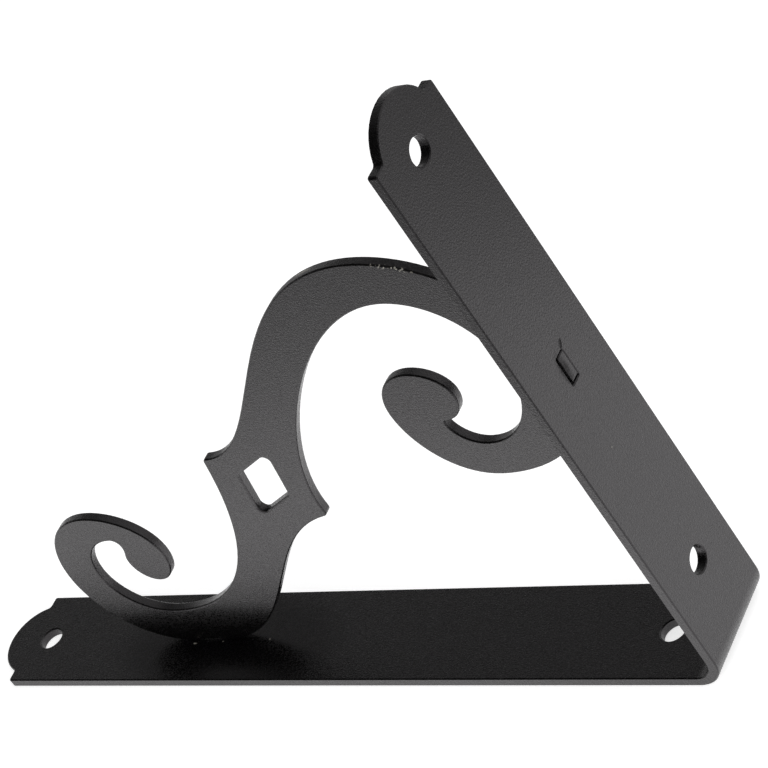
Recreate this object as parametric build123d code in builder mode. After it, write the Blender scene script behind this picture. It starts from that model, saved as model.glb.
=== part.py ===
from build123d import *
import os
from math import atan2, cos, degrees, radians, sin

# A shelf bracket in millimetres: a flat steel strap bent to an L, and a flat scroll plate that stands on
# edge inside the L, keyed into both legs by a tenon. The long leg lies on Z = 0 along X, the short leg
# stands at its +X end, and the widths run along Y. The origin is the middle of the footprint.

# ---------- strap ----------
bar_width = 25.0
bar_thickness = 2.3
bend_inner_radius = 4.5
long_leg = 204.0  # outside of the corner to the tip
short_leg = 147.0
edge_break = 0.25  # taken off every rim after blanking

# Both tips end in two shoulders and a round lobe.
lobe_rise = 6.6  # shoulders to tip
lobe_radius = 10.0
lobe_root_radius = 0.8
shoulder_radius = 0.6

# Screw holes: the tip holes are set from the tips, the bend holes from the outside of the corner.
screw_hole_diameter = 5.7
long_tip_hole = 12.8
short_tip_hole = 12.4
long_bend_hole = 17.2
short_bend_hole = 23.6

# ---------- scroll plate ----------
# Its places are measured from the inner corner: reach runs out along the long leg and rise runs up the
# short leg. A curl's turning points, where its edge runs level or plumb, are measured from its own seat.
plate_thickness = 2.3
long_seat_reach = 138.7  # middle of the flat that sits on the long leg
short_seat_rise = 76.3  # middle of the flat that backs on the short leg
seat_length = 10.0
tenon_length = 6.0
tenon_recess = 0.3  # how far a tenon stops short of the strap's outer face
slot_end_clearance = 0.5
slot_side_clearance = 0.3
slot_corner_radius = 0.3

# Small curl, on the long leg. Outer edge, from the seat outwards and over into the bulb.
small_far_reach = 26.6
small_far_rise = 21.6
small_top_reach = 8.5
small_top_rise = 41.7
small_near_reach = -6.9
small_near_rise = 29.8
small_bulb_reach = -0.2
small_bulb_rise = 20.9
small_neck_reach = 5.2
small_neck_rise = 26.8
# Small curl, inner edge, from the hook at the neck back round to the stem.
small_hook_reach = 3.7
small_hook_rise = 32.5
small_crest_reach = 5.6
small_crest_rise = 34.3
small_inner_far_reach = 17.0
small_inner_far_rise = 22.1
small_floor_reach = 3.8
small_floor_rise = 10.5

# Large curl, against the short leg. Outer edge, from the arch down past the seat and round into the bulb.
large_arch_reach = 30.6
large_arch_rise = 32.1
large_floor_reach = 28.0
large_floor_rise = -26.8
large_far_reach = 44.6
large_far_rise = -8.4
large_bulb_reach = 34.5
large_bulb_rise = 2.3
large_near_reach = 26.2
large_near_rise = -4.3
large_notch_reach = 32.9
large_notch_rise = -11.0
notch_radius = 0.5
# Large curl, inner edge, from the notch back round to the stem.
large_inner_floor_reach = 26.0
large_inner_floor_rise = -17.7
large_inner_near_reach = 10.2
large_inner_near_rise = 2.8
large_inner_arch_reach = 28.9
large_inner_arch_rise = 21.2

# Stem: its two points, and how far each sweep runs straight before it bends away.
far_point_reach = 100.2
far_point_rise = 58.5
near_point_reach = 78.6
near_point_rise = 39.6
point_radius = 1.2
far_stem_pull = 18.9  # the long sweep that comes up to the far point
far_stem_slope = 81.0
far_floor_pull = 28.6
far_flank_pull = 19.3  # the hollow flank that leaves the far point
far_flank_slope = -4.0
arch_pull = 34.6
near_stem_pull = 18.4  # the long sweep that comes down to the near point
near_stem_slope = 98.0
inner_arch_pull = 21.5
near_flank_pull = 22.7  # the hollow flank that leaves the near point
near_flank_slope = 10.0
seat_pull = 23.7

# Window in the stem, a rhombus.
window_reach = 89.2
window_rise = 49.8
window_across = 10.85  # between opposite sides
window_low_slope = 27.5
window_steep_slope = 80.0
window_corner_radius = 1.5

# ---------- shared places ----------
bend_outer_radius = bend_inner_radius + bar_thickness
slot_length = tenon_length + 2 * slot_end_clearance
slot_width = plate_thickness + 2 * slot_side_clearance

outer_corner = (long_leg / 2, 0, 0)
inner_corner = (long_leg / 2 - bar_thickness, 0, bar_thickness)
# Local X runs out along the long leg and local Y up the short leg, from the inner corner.
side_view = Plane(origin=inner_corner, x_dir=(-1, 0, 0), z_dir=(0, 1, 0))
# Local X runs from the outside of the corner to a leg's tip, and local Z into the steel.
long_leg_face = Plane(origin=outer_corner, x_dir=(-1, 0, 0), z_dir=(0, 0, 1))
short_leg_face = Plane(origin=outer_corner, x_dir=(0, 0, 1), z_dir=(-1, 0, 0))


def leg_plan(length, tip_hole, bend_hole, slot_place):
    """A leg seen square on: shoulders, lobe, two screw holes and a tenon slot, from the corner to the tip."""
    shoulder = length - lobe_rise
    with BuildSketch() as plan:
        Rectangle(shoulder, bar_width, align=(Align.MIN, Align.CENTER))
        shoulder_corners = plan.vertices().group_by(Axis.X)[-1]
        fillet(shoulder_corners, shoulder_radius)
        with Locations((length - lobe_radius, 0)):
            Circle(lobe_radius)
        on_shoulder = plan.vertices().filter_by(lambda v: abs(v.X - shoulder) < 1e-6)
        lobe_roots = on_shoulder.sort_by(lambda v: abs(v.Y))[:2]
        fillet(lobe_roots, lobe_root_radius)
        with Locations((length - tip_hole, 0), (bend_hole, 0)):
            Circle(screw_hole_diameter / 2, mode=Mode.SUBTRACT)
        with Locations((slot_place, 0)):
            RectangleRounded(slot_length, slot_width, slot_corner_radius, mode=Mode.SUBTRACT)
    return plan.sketch


def crosses_the_steel(edge):
    """Whether a strap's edge is a straight one from one broad face to the other."""
    span = edge @ 1 - edge @ 0
    return abs(edge.length - bar_thickness) < 1e-6 and abs(span.Y) < 1e-6


# ---------- strap: an L bent from flat bar, trimmed and pierced leg by leg ----------
long_plan = leg_plan(long_leg, long_tip_hole, long_bend_hole, bar_thickness + long_seat_reach)
short_plan = leg_plan(short_leg, short_tip_hole, short_bend_hole, bar_thickness + short_seat_rise)

with BuildPart() as strap:
    with BuildSketch(side_view) as bent_bar:
        with BuildLine():
            FilletPolyline(
                (long_leg - bar_thickness, -bar_thickness),
                (-bar_thickness, -bar_thickness),
                (-bar_thickness, short_leg - bar_thickness),
                radius=bend_outer_radius,
            )
            offset(amount=bar_thickness, side=Side.RIGHT)
        make_face()
    extrude(amount=bar_width / 2, both=True)
    with BuildSketch(long_leg_face):
        add(long_plan)
    extrude(amount=short_leg, mode=Mode.INTERSECT)
    with BuildSketch(short_leg_face):
        add(short_plan)
    extrude(amount=long_leg, mode=Mode.INTERSECT)
    chamfer(strap.edges().filter_by(crosses_the_steel, reverse=True), edge_break)


# ---------- scroll: an S cut from flat plate ----------
def small(reach, rise):
    """A place on the small curl, from the middle of its seat on the long leg."""
    return (long_seat_reach + reach, rise)


def large(reach, rise):
    """A place on the large curl, from the middle of its seat on the short leg."""
    return (reach, short_seat_rise + rise)


def stepped(point, distance, slope):
    """The place a distance from a point, in the direction of a slope in degrees above the way inwards."""
    return (point[0] - distance * cos(radians(slope)), point[1] + distance * sin(radians(slope)))


def bearing(centre, place):
    """The direction of a place from a centre, in degrees."""
    return degrees(atan2(place[1] - centre[1], place[0] - centre[0]))


def curl_edge(turning_points, starts_level):
    """Join turning points by quarter ellipses, so the edge is level and plumb there by turns."""
    for start, end in zip(turning_points, turning_points[1:]):
        centre = (start[0], end[1]) if starts_level else (end[0], start[1])
        half_width = abs(end[0] - start[0])
        half_height = abs(end[1] - start[1])
        start_angle = bearing(centre, start)
        turn = (bearing(centre, end) - start_angle + 180) % 360 - 180
        EllipticalCenterArc(centre, half_width, half_height, start_angle=start_angle, arc_size=turn)
        starts_level = not starts_level


half_seat = seat_length / 2
long_seat_far = small(half_seat, 0)
long_seat_near = small(-half_seat, 0)
short_seat_top = large(0, half_seat)
short_seat_bottom = large(0, -half_seat)

small_neck = small(small_neck_reach, small_neck_rise)
small_hook = small(small_hook_reach, small_hook_rise)
small_floor = small(small_floor_reach, small_floor_rise)
large_arch = large(large_arch_reach, large_arch_rise)
large_inner_arch = large(large_inner_arch_reach, large_inner_arch_rise)
far_point = (far_point_reach, far_point_rise)
near_point = (near_point_reach, near_point_rise)
neck_pull = (small_hook_rise - small_neck_rise) / 2

# The window's corners, from the distance across it and the slopes of its sides.
window_side = window_across / sin(radians(window_steep_slope - window_low_slope))
window_edge_middle = stepped((window_reach, window_rise), -window_side / 2, window_low_slope)
window_start = stepped(window_edge_middle, -window_side / 2, window_steep_slope)
window_low_end = stepped(window_start, window_side, window_low_slope)
window_corners = [
    window_start,
    window_low_end,
    stepped(window_low_end, window_side, window_steep_slope),
    stepped(window_start, window_side, window_steep_slope),
]

with BuildPart() as scroll:
    with BuildSketch(side_view) as outline:
        with BuildLine():
            curl_edge(
                [
                    long_seat_far,
                    small(small_far_reach, small_far_rise),
                    small(small_top_reach, small_top_rise),
                    small(small_near_reach, small_near_rise),
                    small(small_bulb_reach, small_bulb_rise),
                    small_neck,
                ],
                starts_level=True,
            )
            Bezier(
                small_neck,
                stepped(small_neck, neck_pull, 90),
                stepped(small_hook, -neck_pull, 90),
                small_hook,
            )
            curl_edge(
                [
                    small_hook,
                    small(small_crest_reach, small_crest_rise),
                    small(small_inner_far_reach, small_inner_far_rise),
                    small_floor,
                ],
                starts_level=False,
            )
            Bezier(
                small_floor,
                stepped(small_floor, far_floor_pull, 0),
                stepped(far_point, -far_stem_pull, far_stem_slope),
                far_point,
            )
            Bezier(
                far_point,
                stepped(far_point, far_flank_pull, far_flank_slope),
                stepped(large_arch, -arch_pull, 0),
                large_arch,
            )
            curl_edge([large_arch, short_seat_top], starts_level=True)
            Line(short_seat_top, short_seat_bottom)
            curl_edge(
                [
                    short_seat_bottom,
                    large(large_floor_reach, large_floor_rise),
                    large(large_far_reach, large_far_rise),
                    large(large_bulb_reach, large_bulb_rise),
                    large(large_near_reach, large_near_rise),
                    large(large_notch_reach - notch_radius, large_notch_rise),
                    large(large_notch_reach, large_notch_rise - notch_radius),
                    large(large_inner_floor_reach, large_inner_floor_rise),
                    large(large_inner_near_reach, large_inner_near_rise),
                    large_inner_arch,
                ],
                starts_level=False,
            )
            Bezier(
                large_inner_arch,
                stepped(large_inner_arch, -inner_arch_pull, 0),
                stepped(near_point, near_stem_pull, near_stem_slope),
                near_point,
            )
            Bezier(
                near_point,
                stepped(near_point, -near_flank_pull, near_flank_slope),
                stepped(long_seat_near, seat_pull, 0),
                long_seat_near,
            )
            Line(long_seat_near, long_seat_far)
        make_face()
    extrude(amount=plate_thickness / 2, both=True)

    for point in (far_point, near_point):
        point_edge = scroll.edges().filter_by(Axis.Y).sort_by_distance(side_view.from_local_coords(point))[0]
        fillet(point_edge, point_radius)

    with BuildSketch(side_view) as window:
        with BuildLine():
            Polyline(window_corners, close=True)
        make_face()
        fillet(window.vertices(), window_corner_radius)
    extrude(amount=plate_thickness / 2, both=True, mode=Mode.SUBTRACT)

    rims = scroll.faces().filter_by(Axis.Y).edges()
    chamfer(rims, edge_break)

    tenon_reach = bar_thickness - tenon_recess
    with BuildSketch(side_view):
        with Locations((long_seat_reach, 0)):
            Rectangle(tenon_length, tenon_reach, align=(Align.CENTER, Align.MAX))
        with Locations((0, short_seat_rise)):
            Rectangle(tenon_reach, tenon_length, align=(Align.MAX, Align.CENTER))
    extrude(amount=plate_thickness / 2, both=True)


# ---------- finished pieces ----------
os.makedirs("parts", exist_ok=True)
strap.part.label = "strap"
export_step(strap.part, "parts/strap.step")
scroll.part.label = "scroll"
export_step(scroll.part, "parts/scroll.step")
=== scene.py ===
from math import cos, radians, sin

import bpy
from bpy.props import (
    FloatProperty,
    FloatVectorProperty,
    IntProperty,
    PointerProperty,
)
from mathutils import Matrix, Vector


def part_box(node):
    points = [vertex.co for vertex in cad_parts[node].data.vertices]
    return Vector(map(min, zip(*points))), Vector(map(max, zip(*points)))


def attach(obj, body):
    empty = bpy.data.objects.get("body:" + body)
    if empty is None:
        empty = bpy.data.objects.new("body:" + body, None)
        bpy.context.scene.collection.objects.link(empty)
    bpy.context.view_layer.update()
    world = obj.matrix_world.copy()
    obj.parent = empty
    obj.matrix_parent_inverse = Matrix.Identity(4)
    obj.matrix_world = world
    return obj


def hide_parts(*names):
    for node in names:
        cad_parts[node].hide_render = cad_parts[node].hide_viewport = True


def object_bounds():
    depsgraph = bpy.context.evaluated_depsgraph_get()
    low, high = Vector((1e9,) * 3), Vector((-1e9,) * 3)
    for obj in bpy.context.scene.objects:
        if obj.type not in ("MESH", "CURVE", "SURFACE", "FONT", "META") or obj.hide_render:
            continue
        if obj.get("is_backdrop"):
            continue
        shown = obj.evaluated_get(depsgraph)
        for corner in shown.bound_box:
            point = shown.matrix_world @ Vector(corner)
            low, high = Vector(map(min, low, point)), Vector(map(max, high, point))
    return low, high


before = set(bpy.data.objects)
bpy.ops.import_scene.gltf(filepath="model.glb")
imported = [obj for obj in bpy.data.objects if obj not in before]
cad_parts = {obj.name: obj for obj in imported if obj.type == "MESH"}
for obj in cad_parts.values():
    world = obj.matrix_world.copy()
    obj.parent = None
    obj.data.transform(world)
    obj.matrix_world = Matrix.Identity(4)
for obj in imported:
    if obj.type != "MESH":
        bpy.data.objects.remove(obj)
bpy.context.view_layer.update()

bl_info = {
    "name": "Scroll Shelf Bracket",
    "version": (1, 0, 0),
    "blender": (4, 5, 0),
    "location": "View3D > Sidebar > Bracket",
    "description": "Dresses a scroll shelf bracket in textured black powder coat and sets its stage",
    "category": "Object",
}

ROOT_BODY = "root"
COAT_NAME = "sand_textured_coat"
MM = 0.001
WHITE = (1.0, 1.0, 1.0, 1.0)
BLACK = (0.0, 0.0, 0.0, 1.0)
MIX_LOW, MIX_HIGH, MIX_RESULT = 6, 7, 2  # the colour sockets of a Mix node
NODE_STEP = 180  # from one node to the next along a row in the editor
ROW_STEP = 220  # from one row of nodes down to the next

# Shaping
WELD_DISTANCE = 0.001 * MM  # loose facets of the solids meet within this
SAME_PLACE = 0.01 * MM  # places this close count as one
FLAT_ANGLE = radians(0.05)  # facets this close to one plane become one face
RIM_ANGLE = radians(25)  # an edge sharper than this is a rim
TENON_END = 0.6 * MM  # the tenon's end lies within this of the strap's outer face
ROLL_SEGMENTS = 4  # facets across each rolled edge of the tenon

# The window in the scroll's stem, a rhombus: its middle and the slopes of its sides, seen along Y.
WINDOW_MIDDLE = (10.5 * MM, 52.1 * MM)
WINDOW_SLOPES = (radians(27.5), radians(80))
WINDOW_REACH = 5.8 * MM  # from its middle past the broken edges of its sides

# Patterns in the coat
NOISE_SPAN = (0.3, 0.7)  # nearly all of a noise pattern lies between these
GRAIN_DETAIL, GRAIN_ROUGHNESS = 2.0, 0.7  # finer noise on the grains
PEEL_DETAIL, PEEL_ROUGHNESS = 1.5, 0.5  # finer noise on the slow waves
GRAIN_SHADE_SHARES = (0.72, 1.35)  # painted shade between the grains and painted highlight on top of them, as shares of the coat's colour
SHEEN_DIP = 0.05  # how much smoother than its middle roughness the coat gets between the specks
CHIP_FADE = (0.28, 0.42)  # a chip's edge, as shares of the distance from one chip to the next
MARK_FADE = (0.4, 1.0)  # a mark's edge, as shares of its half sizes
RESIN_IOR = 1.5

# Marks in the coat, in millimetres: the middle, the half sizes along X, Y and Z, and the turn in degrees.
DULL_MARKS = (
    ((102.0, -1.0, 78.9), (0.8, 1.9, 5.0), (0, 0, 0)),  # near side of the tenon's end
    ((84.0, 0.0, 108.3), (24.0, 2.4, 2.8), (0, 20, 0)),  # rim of the arch where it meets the upright
    ((102.0, 1.8, 83.1), (0.6, 0.7, 1.5), (-32, 0, 0)),  # slip of a tool over the slot
    ((6.2, -1.2, 45.4), (1.0, 0.7, 0.8), (0, 0, 0)),  # lower corner of the window
)
DENTS = (
    ((102.0, 1.85, 83.2), (0.6, 0.55, 1.2), (-32, 0, 0)),  # slip of a tool over the slot
)
# Pale specks painted in the colour of bare steel where light glints: painted highlights
PAINTED_GLINTS = (
    ((102.0, -2.2, 58.9), (0.3, 0.2, 0.2), (0, 0, 0)),  # painted glint under the slot
    ((-42.9, -2.1, 2.3), (0.7, 0.25, 0.2), (0, 0, 0)),  # three painted glints of light along the scroll's foot
    ((-34.8, -1.6, 2.3), (0.25, 0.2, 0.2), (0, 0, 0)),
    ((-21.3, -1.1, 2.3), (0.3, 0.2, 0.2), (0, 0, 0)),
    ((57.8, 0.2, 108.6), (3.6, 0.45, 0.6), (0, -18, 0)),  # a nick along the rim of the arch, painted pale as its glint
)
POOLS = (
    ((-33.0, -2.0, 2.0), (38.0, 17.0, 21.0), (0, 0, 0)),  # smooth coat round the scroll's foot
)
GLINTING_CHIPPED_ARRIS = ((79.2, -1.15, 109.0), (8.0, 0.6, 0.9), (0, 20, 0))  # chips along the top of the arch, painted pale as glints

# The pale room round the bracket: where one part blends into the next, along X, Y or Z of the direction
# that is looked in.
BACKDROP_TOP = (0.20, 0.40)  # up Z, from the backdrop to the ceiling
OVERHEAD = (0.60, 0.85)  # up Z, from the ceiling behind to the ceiling straight overhead
CEILING_LEFT = (-0.54, -0.10)  # along X, from the dimmer left to the rest
ROOM_FRONT = (-0.35, 0.25)  # along Y, from the dark room in front to the pale room behind

# The lamps: name, place, side in metres and power in watts
LAMPS = (
    ("left_lamp", (0.2, -1.5, 0.4), 0.9, 18),
    ("right_lamp", (1.3, 0.2, 0.6), 0.9, 9),
    ("top_lamp", (0.5, -0.4, 1.35), 1.2, 8),
)
SENSOR_WIDTH = 36  # in millimetres


# ---------- settings ----------
class CoatSettings(bpy.types.PropertyGroup):
    """The textured black powder coat, and how it rounds the steel's rims."""

    colour: FloatVectorProperty(
        name="Colour", description="Pigment of the coat", subtype="COLOR", size=4, min=0, max=1,
        default=(0.0012, 0.0011, 0.0011, 1.0),
    )
    roughness: FloatProperty(
        name="Roughness", description="Satin sheen of the coat between its grains", default=0.22,
        min=0, max=1,
    )
    specular: FloatProperty(
        name="Gloss Level", description="How strongly the resin reflects", default=0.80, min=0, max=1,
    )
    gloss_tint: FloatVectorProperty(
        name="Gloss Tint", description="Cast of the resin's reflections", subtype="COLOR", size=4,
        min=0, max=1, default=(1.0, 0.955, 0.99, 1.0),
    )
    grain: FloatProperty(
        name="Grain", description="Width of one grain of the sand texture", subtype="DISTANCE",
        default=0.375 * MM, min=0.05 * MM, max=3 * MM,
    )
    grain_stretch: FloatProperty(
        name="Grain Stretch", description="How much taller than wide a grain is", default=1.25,
        min=0.5, max=4,
    )
    grain_height: FloatProperty(
        name="Grain Height", description="How far the grains stand up", subtype="DISTANCE",
        default=0.100 * MM, min=0, max=0.3 * MM,
    )
    speck: FloatProperty(
        name="Speck", description="Width of the dull specks in the sheen", subtype="DISTANCE",
        default=0.36 * MM, min=0.05 * MM, max=3 * MM,
    )
    speck_dullness: FloatProperty(
        name="Speck Dullness", description="How much rougher the dull specks are", default=0.14,
        min=0, max=1,
    )
    peel: FloatProperty(
        name="Orange Peel", description="Width of the slow waves in the coat", subtype="DISTANCE",
        default=2.2 * MM, min=0.2 * MM, max=20 * MM,
    )
    peel_height: FloatProperty(
        name="Peel Height", description="Height of the slow waves in the coat", subtype="DISTANCE",
        default=0.008 * MM, min=0, max=0.2 * MM,
    )
    pool_smoothness: FloatProperty(
        name="Pool Smoothness", description="How much of the grain is gone where the coat has pooled",
        default=0.9, min=0, max=1,
    )
    dull_roughness: FloatProperty(
        name="Dull Roughness", description="How much rougher the coat is at its dull marks", default=0.40,
        min=0, max=1,
    )
    dent_depth: FloatProperty(
        name="Dent Depth", description="How deep a tool mark goes", subtype="DISTANCE", default=0.34 * MM,
        min=0, max=1 * MM,
    )
    # Bare steel of the chips, and also the colour of the painted glints
    bare_and_glint_colour: FloatVectorProperty(
        name="Bare Steel", description="Specks where the coat has chipped off", subtype="COLOR", size=4,
        min=0, max=1, default=(0.24, 0.23, 0.20, 1.0),
    )
    chip: FloatProperty(
        name="Chip", description="Distance from one chip to the next along the chipped arris",
        subtype="DISTANCE", default=0.55 * MM, min=0.1 * MM, max=5 * MM,
    )
    tenon_shift: FloatVectorProperty(
        name="Tenon Shift", description="How far the upright's tenon sits off the middle of its slot",
        subtype="TRANSLATION", size=3, default=(0.28 * MM, 0.24 * MM, 0.05 * MM),
    )
    tenon_fill: FloatProperty(
        name="Tenon Fill", description="How far the coat fills the slot over the tenon", subtype="DISTANCE",
        default=0.30 * MM, min=0, max=0.4 * MM,
    )
    tenon_roll: FloatProperty(
        name="Tenon Roll", description="Radius of the tenon's upper and lower edges", subtype="DISTANCE",
        default=0.35 * MM, min=0.05 * MM, max=1 * MM,
    )
    window_scale: FloatProperty(
        name="Window Scale", description="What the coat built up on its walls leaves of the window",
        default=0.93, min=0.8, max=1,
    )
    rim_radius: FloatProperty(
        name="Rim Radius", description="How far the coat rounds each broken edge", subtype="DISTANCE",
        default=0.10 * MM, min=0.01 * MM, max=0.17 * MM,
    )
    rim_segments: IntProperty(
        name="Rim Segments", description="Facets across each rounded edge", default=2, min=1, max=4,
    )


class StageSettings(bpy.types.PropertyGroup):
    """The floor, the pale room round the bracket, and the camera."""

    floor_size: FloatProperty(
        name="Floor Size", description="Side of the square floor", subtype="DISTANCE", default=8.0,
        min=1, max=50,
    )
    floor_colour: FloatVectorProperty(
        name="Floor Colour", description="Pale floor", subtype="COLOR", size=4, min=0, max=1,
        default=(0.72, 0.72, 0.72, 1.0),
    )
    floor_lift: FloatProperty(
        name="Floor Lift", description="What takes the floor to white for the camera, outside the shadows",
        default=0.62, min=0, max=1,
    )
    lift_near: FloatProperty(
        name="Lift Grows From", description="How far out the floor starts to go fully white for the camera",
        subtype="DISTANCE", default=0.3, min=0.1, max=5,
    )
    lift_far: FloatProperty(
        name="Lift Is Full", description="How far out the floor is fully white for the camera",
        subtype="DISTANCE", default=1.2, min=0.2, max=20,
    )
    board_middle: FloatProperty(
        name="Board Middle", description="How far behind the bracket the bright board's middle lies",
        subtype="DISTANCE", default=0.021, min=-1, max=1,
    )
    board_near: FloatProperty(
        name="Board Edge Starts", description="Where the bright board starts to fade, from its middle",
        subtype="DISTANCE", default=0.092, min=0.01, max=2,
    )
    board_far: FloatProperty(
        name="Board Edge Ends", description="Where the bright board has faded, from its middle",
        subtype="DISTANCE", default=0.116, min=0.02, max=5,
    )
    board_rest: FloatProperty(
        name="Past the Board", description="What is left of the board's light past its edge", default=0.36,
        min=0, max=1,
    )
    front_near: FloatProperty(
        name="Front Shade Starts", description="How far towards the camera the floor starts to darken",
        subtype="DISTANCE", default=0.115, min=0.01, max=2,
    )
    front_far: FloatProperty(
        name="Front Shade Ends", description="How far towards the camera the floor has darkened",
        subtype="DISTANCE", default=0.15, min=0.02, max=5,
    )
    front_rest: FloatProperty(
        name="Front Glow", description="What is left of the floor's light in front", default=0.90,
        min=0, max=1,
    )
    end_near: FloatProperty(
        name="End Shade Starts", description="How far along the bracket the floor starts to darken",
        subtype="DISTANCE", default=0.060, min=0, max=2,
    )
    end_far: FloatProperty(
        name="End Shade Ends", description="How far along the bracket the floor has darkened",
        subtype="DISTANCE", default=0.115, min=0.02, max=5,
    )
    end_rest: FloatProperty(
        name="End Glow", description="What is left of the floor's light past both ends", default=0.85,
        min=0, max=1,
    )
    horizon: FloatProperty(
        name="Backdrop Level", description="Light from the pale backdrop, up to where the ceiling starts",
        default=0.52, min=0, max=1,
    )
    sky: FloatProperty(
        name="Ceiling Level", description="Light from the pale ceiling behind the bracket", default=0.62,
        min=0, max=1,
    )
    zenith: FloatProperty(
        name="Overhead Level", description="Light from the ceiling straight overhead", default=0.38,
        min=0, max=1,
    )
    left_level: FloatProperty(
        name="Left Level", description="What is left of the ceiling's light to the left", default=0.20,
        min=0, max=1,
    )
    front_level: FloatProperty(
        name="Front Level", description="Light from the dark room in front of the bracket", default=0.02,
        min=0, max=1,
    )
    camera_aim: FloatVectorProperty(
        name="Aim", description="The point that the camera looks at", subtype="TRANSLATION", size=3,
        default=(0.05805, 0.0, 0.07781),
    )
    camera_azimuth: FloatProperty(
        name="Azimuth", description="Camera's bearing from straight in front", subtype="ANGLE",
        default=radians(48.411),
    )
    camera_elevation: FloatProperty(
        name="Elevation", description="Camera's height over the horizon", subtype="ANGLE",
        default=radians(33.536),
    )
    camera_roll: FloatProperty(
        name="Roll", description="How far the camera leans about its own line of sight", subtype="ANGLE",
        default=radians(-36.151),
    )
    camera_distance: FloatProperty(
        name="Distance", description="From the camera to the point that it looks at", subtype="DISTANCE",
        default=0.63305, min=0.1, max=10,
    )
    focal_length: FloatProperty(
        name="Focal Length", description="Lens, on a 36 mm wide sensor, in millimetres", default=153.84,
        min=10, max=500,
    )


# ---------- node helpers ----------
def node(tree, kind, spot, inputs=None, **settings):
    """Add a shader node at a spot in the editor. An input takes a value, or another node's output."""
    made = tree.nodes.new(kind)
    made.location = spot
    for name, value in settings.items():
        setattr(made, name, value)
    for name, value in (inputs or {}).items():
        if isinstance(value, bpy.types.NodeSocket):
            tree.links.new(value, made.inputs[name])
        else:
            made.inputs[name].default_value = value
    return made


def empty_material(name):
    """A new material with a bare node tree, that tree, and the input that takes its surface."""
    material = bpy.data.materials.new(name)
    material.use_nodes = True
    tree = material.node_tree
    tree.nodes.clear()
    return material, tree, node(tree, "ShaderNodeOutputMaterial", (900, 0)).inputs["Surface"]


def maths(tree, spot, operation, *terms):
    """What a Math node makes of its terms."""
    inputs = dict(enumerate(terms))
    return node(tree, "ShaderNodeMath", spot, inputs, operation=operation).outputs["Value"]


def ramp(tree, spot, value, span, start, end, blend="SMOOTHSTEP"):
    """A number that goes from start to end as a value crosses a span."""
    return node(
        tree, "ShaderNodeMapRange", spot, interpolation_type=blend,
        inputs={"Value": value, "From Min": span[0], "From Max": span[1], "To Min": start, "To Max": end},
    ).outputs["Result"]


def colour_mix(tree, spot, share, low, high):
    """A colour that goes from low to high as a share goes from 0 to 1."""
    return node(
        tree, "ShaderNodeMix", spot, data_type="RGBA",
        inputs={"Factor": share, MIX_LOW: low, MIX_HIGH: high},
    ).outputs[MIX_RESULT]


def noise(tree, spot, place, width, detail=0.0, roughness=0.5):
    """A noise pattern of lumps of a width, with finer noise on them."""
    return node(
        tree, "ShaderNodeTexNoise", spot,
        inputs={"Vector": place, "Scale": 1 / width, "Detail": detail, "Roughness": roughness},
    ).outputs["Fac"]


def bump(tree, spot, height, distance, invert=False, **inputs):
    """The normal that a pattern of heights gives a surface, or a pattern of depths where it is inverted."""
    return node(
        tree, "ShaderNodeBump", spot, invert=invert,
        inputs={"Height": height, "Distance": distance, "Strength": 1.0, **inputs},
    ).outputs["Normal"]


def tinted(colour, share):
    """A colour made darker or lighter by a share, opaque."""
    return (*(part * share for part in colour[:3]), 1.0)


def mark(tree, place, spot, at):
    """How near the surface is to the middle of a mark, from 0 at its edge to 1."""
    middle, half, turn = at
    fit = node(
        tree, "ShaderNodeMapping", spot, vector_type="TEXTURE",
        inputs={
            "Vector": place,
            "Location": [MM * part for part in middle],
            "Rotation": [radians(part) for part in turn],
            "Scale": [MM * part for part in half],
        },
    ).outputs["Vector"]
    reach = node(
        tree, "ShaderNodeVectorMath", (spot[0] + NODE_STEP, spot[1]), {0: fit}, operation="LENGTH",
    ).outputs["Value"]
    return ramp(tree, (spot[0] + 2 * NODE_STEP, spot[1]), reach, MARK_FADE, 1.0, 0.0)


def marks(tree, place, spot, several):
    """The strongest of several marks."""
    strongest = mark(tree, place, spot, several[0])
    for step, at in enumerate(several[1:], 1):
        left, row = spot[0], spot[1] - ROW_STEP * step
        another = mark(tree, place, (left, row), at)
        strongest = maths(tree, (left + 3 * NODE_STEP, row), "MAXIMUM", strongest, another)
    return strongest


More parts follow.
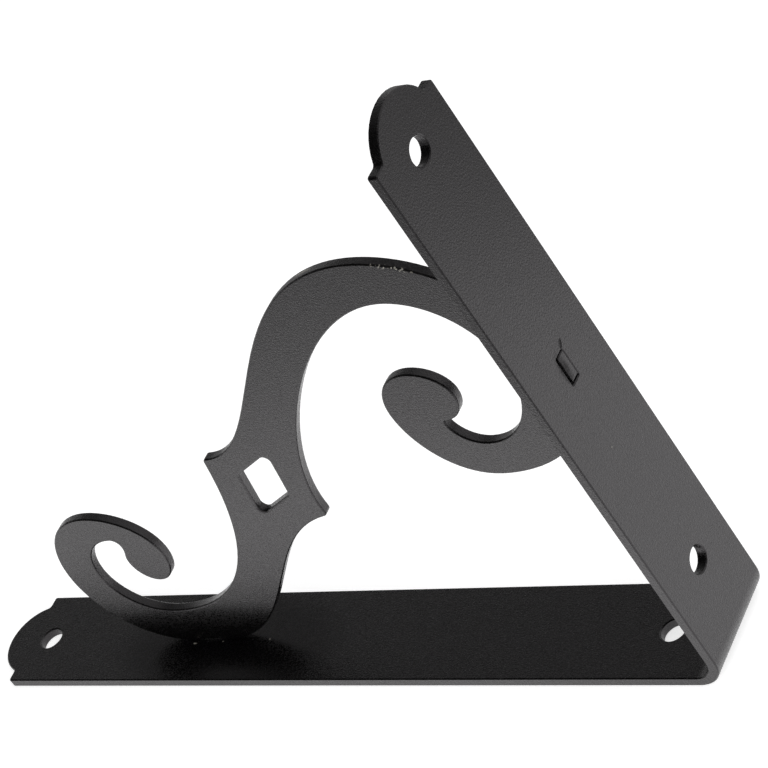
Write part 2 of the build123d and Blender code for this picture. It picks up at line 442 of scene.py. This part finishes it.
# ---------- materials ----------
def powder_coat(coat):
    """Textured black powder coat: fine sand grains on slow orange-peel waves, satin between the grains."""
    material, tree, surface = empty_material(COAT_NAME)
    place = node(tree, "ShaderNodeTexCoord", (-1100, 0)).outputs["Object"]

    upright = node(
        tree, "ShaderNodeMapping", (-1000, 150),
        inputs={"Vector": place, "Scale": (1, 1, 1 / coat.grain_stretch)},
    ).outputs["Vector"]
    grains = noise(tree, (-800, 100), upright, coat.grain, GRAIN_DETAIL, GRAIN_ROUGHNESS)
    waves = noise(tree, (-850, -250), place, coat.peel, PEEL_DETAIL, PEEL_ROUGHNESS)
    specks = noise(tree, (-550, -50), place, coat.speck)

    # Heights: the waves, the tool's dents, and the grains, which go flat where the coat has pooled
    waved = bump(tree, (250, -350), waves, coat.peel_height)
    dents = marks(tree, place, (-850, -1500), DENTS)
    dented = bump(tree, (340, -500), dents, coat.dent_depth, invert=True, Normal=waved)
    pools = marks(tree, place, (-850, -2000), POOLS)
    standing = maths(tree, (250, -700), "MULTIPLY_ADD", pools, -coat.pool_smoothness, 1.0)
    grained = bump(tree, (430, -250), grains, coat.grain_height, Normal=dented, Strength=standing)

    # Colour: the coat's own colour with its painted grain shade, bare steel and painted glints at the
    # chips, and painted glints at the pale marks
    # Painted shade and highlight on the grains: the coat's colour is darker in their hollows and lighter on
    # their tops, following their heights
    low, high = (tinted(coat.colour, share) for share in GRAIN_SHADE_SHARES)
    grain_shade = ramp(tree, (-550, 250), grains, NOISE_SPAN, 0.0, 1.0, "LINEAR")
    shaded_pigment = colour_mix(tree, (-250, 300), grain_shade, low, high)
    spacing = node(
        tree, "ShaderNodeTexVoronoi", (-850, 700), inputs={"Vector": place, "Scale": 1 / coat.chip},
    ).outputs["Distance"]
    chips = ramp(tree, (-600, 700), spacing, CHIP_FADE, 1.0, 0.0)
    # Chips of bare steel along the arch's arris, painted pale as glints: partly real wear, partly painted
    # highlight
    arris = mark(tree, place, (-1000, 950), GLINTING_CHIPPED_ARRIS)
    chipped = maths(tree, (-400, 700), "MULTIPLY", chips, arris)
    # Painted glints: pale specks that stand for light catching the coat
    pale = marks(tree, place, (-1000, 1800), PAINTED_GLINTS)
    bare = maths(tree, (-200, 700), "MAXIMUM", chipped, pale)
    colour = colour_mix(tree, (100, 400), bare, shaded_pigment, coat.bare_and_glint_colour)

    # Sheen: satin, rougher at the specks and at the dull marks
    satin, dull = coat.roughness - SHEEN_DIP, coat.roughness + coat.speck_dullness
    sheen = ramp(tree, (-250, 50), specks, NOISE_SPAN, satin, dull, "LINEAR")
    dull_marks = marks(tree, place, (-850, -700), DULL_MARKS)
    roughness = maths(tree, (300, 50), "MULTIPLY_ADD", dull_marks, coat.dull_roughness, sheen)

    shader = node(
        tree, "ShaderNodeBsdfPrincipled", (620, 0),
        inputs={
            "Base Color": colour,
            "Roughness": roughness,
            "Normal": grained,
            "IOR": RESIN_IOR,
            "Specular IOR Level": coat.specular,
            "Specular Tint": coat.gloss_tint,
        },
    )
    tree.links.new(shader.outputs["BSDF"], surface)
    return material


def pale_floor(stage):
    """Matt floor that takes shadows and is white for the camera; for the gloss, it darkens outwards."""
    material, tree, surface = empty_material("pale_floor")
    place = node(tree, "ShaderNodeTexCoord", (-1100, -100)).outputs["Object"]
    across = node(tree, "ShaderNodeSeparateXYZ", (-900, 0), {"Vector": place}).outputs
    path = node(tree, "ShaderNodeLightPath", (-600, 500)).outputs

    # For the gloss: a bright board, dimmer past both ends of the bracket and in front of it
    from_middle = maths(tree, (-800, 100), "SUBTRACT", across["Y"], stage.board_middle)
    off_middle = maths(tree, (-700, 0), "ABSOLUTE", from_middle)
    board_edge = (stage.board_near, stage.board_far)
    board = ramp(tree, (-500, 0), off_middle, board_edge, 1.0, stage.board_rest)
    along = maths(tree, (-700, 250), "ABSOLUTE", across["X"])
    end = ramp(tree, (-500, 250), along, (stage.end_near, stage.end_far), 1.0, stage.end_rest)
    camera_heading = (sin(stage.camera_azimuth), -cos(stage.camera_azimuth), 0)
    forward = node(
        tree, "ShaderNodeVectorMath", (-700, -250), {0: place, 1: camera_heading}, operation="DOT_PRODUCT",
    ).outputs["Value"]
    front = ramp(tree, (-500, -250), forward, (stage.front_near, stage.front_far), 1.0, stage.front_rest)
    board_and_end = maths(tree, (-300, 0), "MULTIPLY", board, end)
    lit = maths(tree, (-150, -100), "MULTIPLY", board_and_end, front)

    # For the camera: a lift to white that grows with the distance from the bracket
    reach = node(
        tree, "ShaderNodeVectorMath", (-800, 650), {0: place}, operation="LENGTH",
    ).outputs["Value"]
    lift_span = (stage.lift_near, stage.lift_far)
    camera_lift = ramp(tree, (-600, 750), reach, lift_span, stage.floor_lift, 1.0)
    seen_lift = maths(tree, (-400, 600), "MULTIPLY", path["Is Camera Ray"], camera_lift)
    strength = maths(
        tree, (-200, 400), "MULTIPLY_ADD", path["Is Glossy Ray"], stage.floor_lift, seen_lift,
    )

    matt = node(tree, "ShaderNodeBsdfDiffuse", (0, 200), {"Color": stage.floor_colour}).outputs["BSDF"]
    lift = node(tree, "ShaderNodeEmission", (0, 350), {"Color": WHITE, "Strength": strength}).outputs[0]
    white = node(tree, "ShaderNodeAddShader", (200, 250), {0: matt, 1: lift}).outputs["Shader"]
    dark = node(tree, "ShaderNodeEmission", (200, 50), {"Color": BLACK}).outputs["Emission"]
    faded = node(tree, "ShaderNodeMixShader", (420, 100), {"Fac": lit, 1: dark, 2: white})
    floor = node(
        tree, "ShaderNodeMixShader", (640, 100),
        inputs={"Fac": path["Is Glossy Ray"], 1: white, 2: faded.outputs["Shader"]},
    )
    tree.links.new(floor.outputs["Shader"], surface)
    return material


def studio_world(stage):
    """White for the camera; for the rest a pale backdrop and ceiling behind, and a dark room in front."""
    world = bpy.data.worlds.new("studio")
    world.use_nodes = True
    tree = world.node_tree
    tree.nodes.clear()
    heading = node(tree, "ShaderNodeTexCoord", (-700, 0)).outputs["Generated"]
    parts = node(tree, "ShaderNodeSeparateXYZ", (-500, 0), {"Vector": heading}).outputs
    path = node(tree, "ShaderNodeLightPath", (0, 350)).outputs

    above = ramp(tree, (-300, 0), parts["Z"], OVERHEAD, stage.sky, stage.zenith)
    side = ramp(tree, (-300, 250), parts["X"], CEILING_LEFT, stage.left_level, 1.0)
    ceiling = maths(tree, (-220, 120), "MULTIPLY", above, side)
    level = ramp(tree, (-150, 0), parts["Z"], BACKDROP_TOP, stage.horizon, ceiling)
    room = ramp(tree, (0, 150), parts["Y"], ROOM_FRONT, stage.front_level, level)

    dim = node(tree, "ShaderNodeBackground", (150, 0), {"Color": WHITE, "Strength": room})
    white = node(tree, "ShaderNodeBackground", (0, -150), {"Color": WHITE, "Strength": 1.0})
    seen = node(
        tree, "ShaderNodeMixShader", (350, 0),
        inputs={
            "Fac": path["Is Camera Ray"],
            1: dim.outputs["Background"],
            2: white.outputs["Background"],
        },
    )
    node(tree, "ShaderNodeOutputWorld", (700, 0), {"Surface": seen.outputs["Shader"]})
    return world


def the_material(name, make, settings):
    """The material of that name, made the first time that it is wanted."""
    return bpy.data.materials.get(name) or make(settings)


# ---------- shaping ----------
def only(piece):
    """Make one object the whole selection and the active one."""
    bpy.ops.object.select_all(action="DESELECT")
    piece.select_set(True)
    bpy.context.view_layer.objects.active = piece


def welded(cad_name, name):
    """A copy of a solid with its facets welded into whole faces, left in edit mode."""
    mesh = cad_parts[cad_name].data.copy()
    piece = bpy.data.objects.new(name, mesh)
    mesh.name = name
    bpy.context.scene.collection.objects.link(piece)
    only(piece)
    bpy.ops.object.mode_set(mode="EDIT")
    bpy.ops.mesh.select_all(action="SELECT")
    bpy.ops.mesh.remove_doubles(threshold=WELD_DISTANCE)
    bpy.ops.mesh.dissolve_limited(angle_limit=FLAT_ANGLE)
    return piece


def select_where(piece, wanted):
    """Select the vertices of a piece in edit mode whose places are wanted, and nothing else."""
    bpy.ops.mesh.select_mode(type="VERT")
    bpy.ops.mesh.select_all(action="DESELECT")
    bpy.ops.object.mode_set(mode="OBJECT")
    for vertex in piece.data.vertices:
        vertex.select = wanted(vertex.co)
    bpy.ops.object.mode_set(mode="EDIT")


def settle_tenon(piece, coat):
    """Bring the tenon out and over in its slot, fill the slot's upper end, and roll the tenon's ends."""
    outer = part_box("strap")[1].x - TENON_END
    select_where(piece, lambda place: place.x > outer)
    bpy.ops.transform.translate(value=coat.tenon_shift)
    heights = [vertex.co.z for vertex in piece.data.vertices if vertex.co.x > outer]
    lowest, highest = min(heights) + SAME_PLACE, max(heights) - SAME_PLACE
    select_where(piece, lambda place: place.x > outer and place.z > highest)
    bpy.ops.transform.translate(value=(0, 0, coat.tenon_fill))
    bpy.ops.mesh.bevel(offset=coat.tenon_roll, segments=ROLL_SEGMENTS, affect="EDGES")
    select_where(piece, lambda place: place.x > outer and place.z < lowest)
    bpy.ops.mesh.bevel(offset=coat.tenon_roll, segments=ROLL_SEGMENTS, affect="EDGES")


def in_window(place):
    """Whether a place is on the walls of the window or on their broken edges."""
    across, up = place.x - WINDOW_MIDDLE[0], place.z - WINDOW_MIDDLE[1]
    return all(abs(across * sin(slope) - up * cos(slope)) < WINDOW_REACH for slope in WINDOW_SLOPES)


def build_up_window(piece, coat):
    """Draw the window's walls in under a thick coat, and leave its outline on both faces."""
    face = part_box("scroll")[1].y - SAME_PLACE
    select_where(piece, lambda place: in_window(place) and abs(place.y) < face)
    bpy.ops.transform.resize(
        value=(coat.window_scale, 1, coat.window_scale),
        center_override=(WINDOW_MIDDLE[0], 0, WINDOW_MIDDLE[1]),
    )


def coated(piece, cad_name, coat):
    """Round a piece's rims as the coat does, give it the coat, and let it ride in its solid's place."""
    bpy.ops.mesh.select_all(action="DESELECT")
    bpy.ops.mesh.select_mode(type="EDGE")
    bpy.ops.mesh.edges_select_sharp(sharpness=RIM_ANGLE)
    bpy.ops.mesh.bevel(offset=coat.rim_radius, segments=coat.rim_segments, clamp_overlap=True)
    bpy.ops.object.mode_set(mode="OBJECT")
    bpy.ops.object.shade_smooth()
    piece.modifiers.new("rim_shading", "WEIGHTED_NORMAL")
    bpy.ops.object.modifier_apply(modifier="rim_shading")

    piece.data.materials.clear()
    piece.data.materials.append(the_material(COAT_NAME, powder_coat, coat))
    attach(piece, ROOT_BODY)
    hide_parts(cad_name)


# ---------- operators ----------
class BRACKET_OT_coat_strap(bpy.types.Operator):
    """Coat the bent strap"""

    bl_idname = "bracket.coat_strap"
    bl_label = "Coat Strap"
    bl_options = {"REGISTER", "UNDO"}

    def execute(self, context):
        strap = welded("strap", "coated_strap")
        coated(strap, "strap", context.scene.bracket_coat)
        return {"FINISHED"}


class BRACKET_OT_coat_scroll(bpy.types.Operator):
    """Coat the scroll plate"""

    bl_idname = "bracket.coat_scroll"
    bl_label = "Coat Scroll"
    bl_options = {"REGISTER", "UNDO"}

    def execute(self, context):
        coat = context.scene.bracket_coat
        scroll = welded("scroll", "coated_scroll")
        settle_tenon(scroll, coat)
        build_up_window(scroll, coat)
        coated(scroll, "scroll", coat)
        return {"FINISHED"}


def soft_lamp(name, place, aim, side, power):
    """Hang a square area lamp at a place, turned to a point and hidden from the gloss."""
    place = Vector(place)
    turn = (Vector(aim) - place).to_track_quat("-Z", "Y").to_euler()
    bpy.ops.object.select_all(action="DESELECT")
    bpy.ops.object.light_add(type="AREA", location=place, rotation=turn)
    lamp = bpy.context.object
    lamp.name = name
    lamp.data.shape = "SQUARE"
    lamp.data.size = side
    lamp.data.energy = power
    lamp.visible_glossy = False


class BRACKET_OT_set_stage(bpy.types.Operator):
    """Lay the floor, hang the lamps and place the camera"""

    bl_idname = "bracket.set_stage"
    bl_label = "Set Stage"
    bl_options = {"REGISTER", "UNDO"}

    def execute(self, context):
        stage = context.scene.bracket_stage
        bpy.ops.object.select_all(action="DESELECT")
        bpy.ops.mesh.primitive_plane_add(size=stage.floor_size, location=(0, 0, 0))
        floor = context.object
        floor.name = "floor"
        floor.data.materials.append(pale_floor(stage))
        floor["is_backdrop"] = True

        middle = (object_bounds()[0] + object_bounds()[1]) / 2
        for name, place, side, power in LAMPS:
            soft_lamp(name, place, middle, side, power)
        context.scene.world = studio_world(stage)

        azimuth, elevation = stage.camera_azimuth, stage.camera_elevation
        back = Vector((sin(azimuth) * cos(elevation), -cos(azimuth) * cos(elevation), sin(elevation)))
        aim = Vector(stage.camera_aim)
        turn = (-back).to_track_quat("-Z", "Y").to_matrix() @ Matrix.Rotation(stage.camera_roll, 3, "Z")
        bpy.ops.object.camera_add(location=aim + back * stage.camera_distance, rotation=turn.to_euler())
        camera = context.object
        camera.data.lens = stage.focal_length
        camera.data.sensor_width = SENSOR_WIDTH
        context.scene.camera = camera
        context.scene.view_settings.view_transform = "Standard"
        return {"FINISHED"}


# ---------- panel ----------
class BRACKET_PT_sidebar(bpy.types.Panel):
    """The bracket's settings and its steps"""

    bl_idname = "BRACKET_PT_sidebar"
    bl_label = "Scroll Shelf Bracket"
    bl_space_type = "VIEW_3D"
    bl_region_type = "UI"
    bl_category = "Bracket"

    def draw(self, context):
        layout = self.layout
        scene = context.scene
        for label, settings in (("Coat", scene.bracket_coat), ("Stage", scene.bracket_stage)):
            box = layout.box()
            box.label(text=label)
            for name in settings.__annotations__:
                box.prop(settings, name)
        for operator in OPERATORS:
            layout.operator(operator.bl_idname)


OPERATORS = (BRACKET_OT_coat_strap, BRACKET_OT_coat_scroll, BRACKET_OT_set_stage)
CLASSES = (CoatSettings, StageSettings, *OPERATORS, BRACKET_PT_sidebar)


def register():
    for made in CLASSES:
        bpy.utils.register_class(made)
    bpy.types.Scene.bracket_coat = PointerProperty(type=CoatSettings)
    bpy.types.Scene.bracket_stage = PointerProperty(type=StageSettings)


def unregister():
    del bpy.types.Scene.bracket_stage
    del bpy.types.Scene.bracket_coat
    for made in reversed(CLASSES):
        bpy.utils.unregister_class(made)


def main():
    """Dress both pieces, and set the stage."""
    register()
    bpy.ops.bracket.coat_strap()
    bpy.ops.bracket.coat_scroll()
    bpy.ops.bracket.set_stage()


if __name__ == "__main__":
    main()
